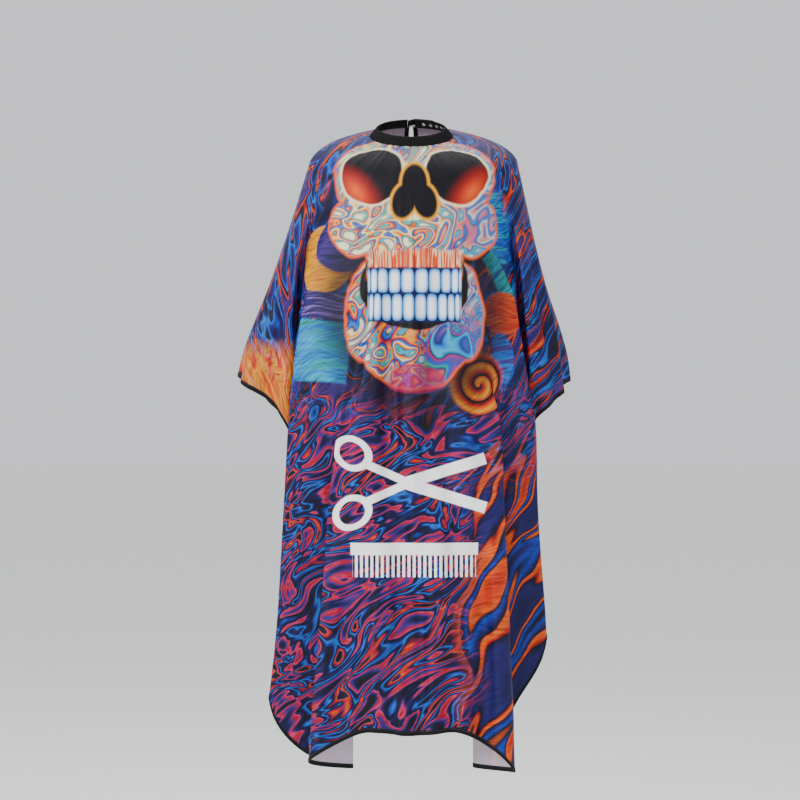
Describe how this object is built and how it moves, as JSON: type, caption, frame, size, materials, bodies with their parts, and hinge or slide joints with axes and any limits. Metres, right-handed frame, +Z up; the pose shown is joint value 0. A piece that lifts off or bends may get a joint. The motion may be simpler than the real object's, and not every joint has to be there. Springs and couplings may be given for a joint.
{
  "type": "barber cape",
  "caption": "Draped barber's cape of printed cloth with bound edges, a short split back, and a ribbed elastic neckband closed at the nape by a tab on press studs.",
  "frame": {"origin": "centre of the neckband's ring, at the middle of its height", "axes": "+Z up, -Y the way the wearer faces, +X to the right as seen from the front"},
  "size_m": [0.6633, 0.3033, 1.331],
  "materials": {
    "printed_cloth": "smooth woven polyester with a sheen, printed all over",
    "binding_tape": "black folded tape",
    "ribbed_tape": "black fine-ribbed elastic tape",
    "elastic": "white woven elastic",
    "interlining": "stiff white interlining",
    "snap_steel": "nickel-plated pressed steel"
  },
  "bodies": {
    "cape": {"centre_front": "printed_cloth", "centre_front_binding": "binding_tape", "left_front": "printed_cloth", "left_front_binding": "binding_tape", "left_side": "printed_cloth", "left_side_binding": "binding_tape", "left_rear": "printed_cloth", "left_rear_binding": "binding_tape", "right_front": "printed_cloth", "right_front_binding": "binding_tape", "right_side": "printed_cloth", "right_side_binding": "binding_tape", "right_rear": "printed_cloth", "right_rear_binding": "binding_tape", "left_back_yoke": "printed_cloth", "left_back_yoke_edge": "binding_tape", "right_back_yoke": "printed_cloth", "right_back_yoke_edge": "binding_tape", "neckband_casing": "ribbed_tape", "neckband_elastic": "elastic", "snap_stud_1": "snap_steel", "snap_post_1": "snap_steel", "snap_stud_2": "snap_steel", "snap_post_2": "snap_steel", "snap_stud_3": "snap_steel", "snap_post_3": "snap_steel", "snap_stud_4": "snap_steel", "snap_post_4": "snap_steel", "snap_stud_5": "snap_steel", "snap_post_5": "snap_steel"},
    "closure_tab": {"tab_casing": "ribbed_tape", "tab_interlining": "interlining", "snap_cap_1": "snap_steel", "snap_socket_1": "snap_steel", "snap_cap_2": "snap_steel", "snap_socket_2": "snap_steel"},
    "left_back": {"left_back_flap": "printed_cloth", "left_back_flap_binding": "binding_tape", "left_back_flap_edge": "binding_tape"},
    "right_back": {"right_back_flap": "printed_cloth", "right_back_flap_binding": "binding_tape", "right_back_flap_edge": "binding_tape"}
  },
  "joints": [
    {"name": "tab_peel", "type": "hinge", "parent": "cape", "child": "closure_tab", "pos_m": [-0.00757, 0.06568, 0.02509], "axis": [0.0721, -0.6932, 0.7171], "range_deg": [0, 80]},
    {"name": "left_back_open", "type": "hinge", "parent": "cape", "child": "left_back", "pos_m": [-0.13537, 0.1106, -0.26651], "axis": [0.1575, -0.0812, 0.9842], "range_deg": [0, 60]},
    {"name": "right_back_open", "type": "hinge", "parent": "cape", "child": "right_back", "pos_m": [0.13034, 0.1106, -0.26665], "axis": [0.1115, 0.0817, -0.9904], "range_deg": [0, 60]}
  ]
}
